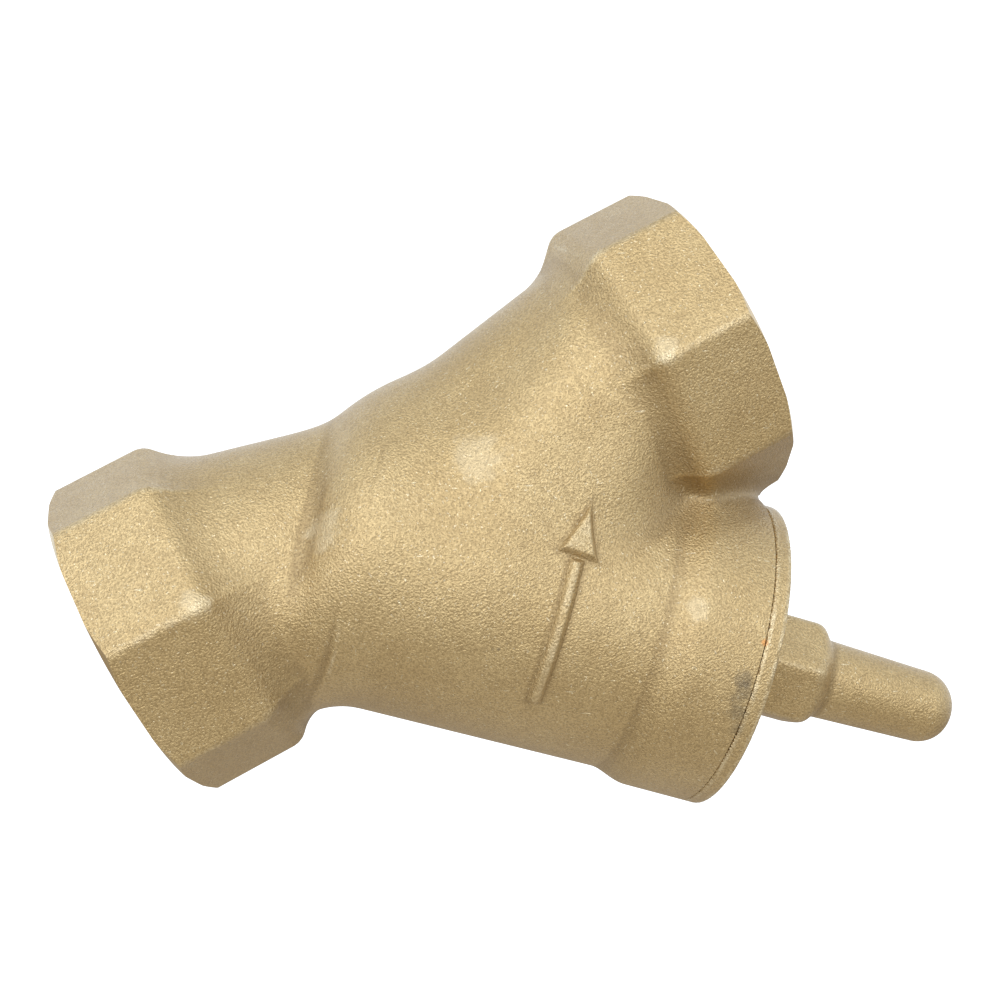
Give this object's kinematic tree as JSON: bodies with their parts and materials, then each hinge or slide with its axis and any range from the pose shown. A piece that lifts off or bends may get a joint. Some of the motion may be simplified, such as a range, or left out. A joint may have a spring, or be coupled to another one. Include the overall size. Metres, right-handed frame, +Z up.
{
  "type": "y strainer",
  "caption": "Forged brass Y strainer with octagonal threaded ends; a screwed cap with hexagon and spigot closes the slanted leg over a perforated screen.",
  "frame": {"origin": "centre of the inlet's mouth", "axes": "+X along the flow, from inlet to outlet; +Z up; the leg leans forward and down in the XZ plane"},
  "size_m": [0.1295, 0.0606, 0.118],
  "materials": {
    "forged_brass": "shot-blasted forging, bores and faces machined",
    "red_fibre": "vulcanised fibre",
    "stainless_sheet": "perforated sheet, mill finish",
    "stainless_wire": "plain-woven wire cloth"
  },
  "bodies": {
    "body": {"body": "forged_brass"},
    "screen": {"screen_tube": "stainless_sheet", "screen_mesh": "stainless_wire", "screen_top_ring": "stainless_sheet", "screen_bottom_ring": "stainless_sheet", "screen_seam_strip": "stainless_sheet"},
    "gasket": {"cap_gasket": "red_fibre"},
    "cap": {"cap": "forged_brass"}
  },
  "joints": [
    {"name": "screen_withdraw", "type": "slide", "parent": "body", "child": "screen", "axis": [0.7193, 0, -0.6947], "range_m": [0, 0.085]},
    {"name": "cap_travel", "type": "slide", "parent": "screen", "child": "gasket", "axis": [0.7193, 0, -0.6947], "range_m": [0, 0.01155]},
    {"name": "cap_turn", "type": "hinge", "parent": "gasket", "child": "cap", "pos_m": [0.0389, 0, 0], "axis": [0.7193, 0, -0.6947], "range_deg": [0, 1800]}
  ],
  "couplings": [
    {"joint": "cap_travel", "follows": "cap_turn", "m_per_rad": 0.00036749}
  ]
}
